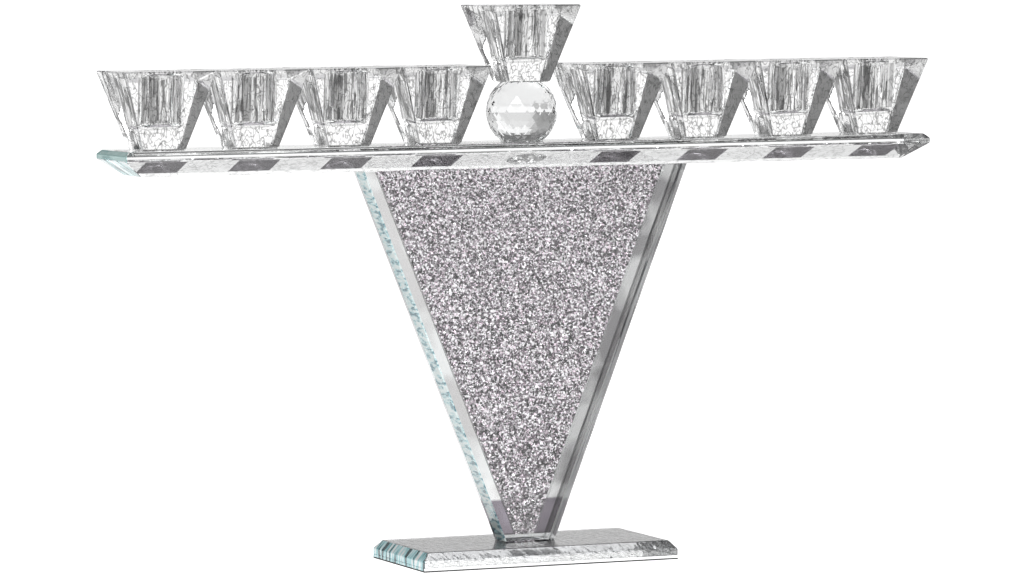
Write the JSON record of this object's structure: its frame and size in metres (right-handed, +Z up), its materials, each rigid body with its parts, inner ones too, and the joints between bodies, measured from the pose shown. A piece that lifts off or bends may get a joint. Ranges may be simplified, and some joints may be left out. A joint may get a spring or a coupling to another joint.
{
  "type": "menorah",
  "caption": "Clear crystal menorah: a row of square tapered cups on a bevelled bar, a raised cup on a faceted ball, and a wedge stem inlaid with crushed crystal on a bevelled base.",
  "frame": {"origin": "centre of the underside of the base, on the surface it stands on", "axes": "+X along the bar to the right, -Y out of the front, +Z up"},
  "size_m": [0.357, 0.06, 0.231],
  "materials": {
    "crystal_glass": "polished clear crystal with ground bevels",
    "plate_glass": "polished clear plate, faintly sea-green through its edges",
    "crushed_crystal": "crushed silvered crystal chips, glittering grey",
    "mirror_silver": "silvered mirror glass",
    "dark_backing": "matt dark protective sheet"
  },
  "bodies": {
    "root": {"base_backing": "dark_backing", "base_crystal_inlay": "crushed_crystal", "base_mirror_border": "mirror_silver", "base_glass": "plate_glass", "stem_back_panel": "mirror_silver", "stem_crystal_inlay": "crushed_crystal", "stem_mirror_left": "mirror_silver", "stem_mirror_right": "mirror_silver", "stem_mirror_foot": "mirror_silver", "stem_glass": "plate_glass", "top_bar": "plate_glass", "shamash_ball": "crystal_glass", "shamash_cup": "crystal_glass", "cup_1": "crystal_glass", "cup_2": "crystal_glass", "cup_3": "crystal_glass", "cup_4": "crystal_glass", "cup_5": "crystal_glass", "cup_6": "crystal_glass", "cup_7": "crystal_glass", "cup_8": "crystal_glass"}
  },
  "joints": []
}
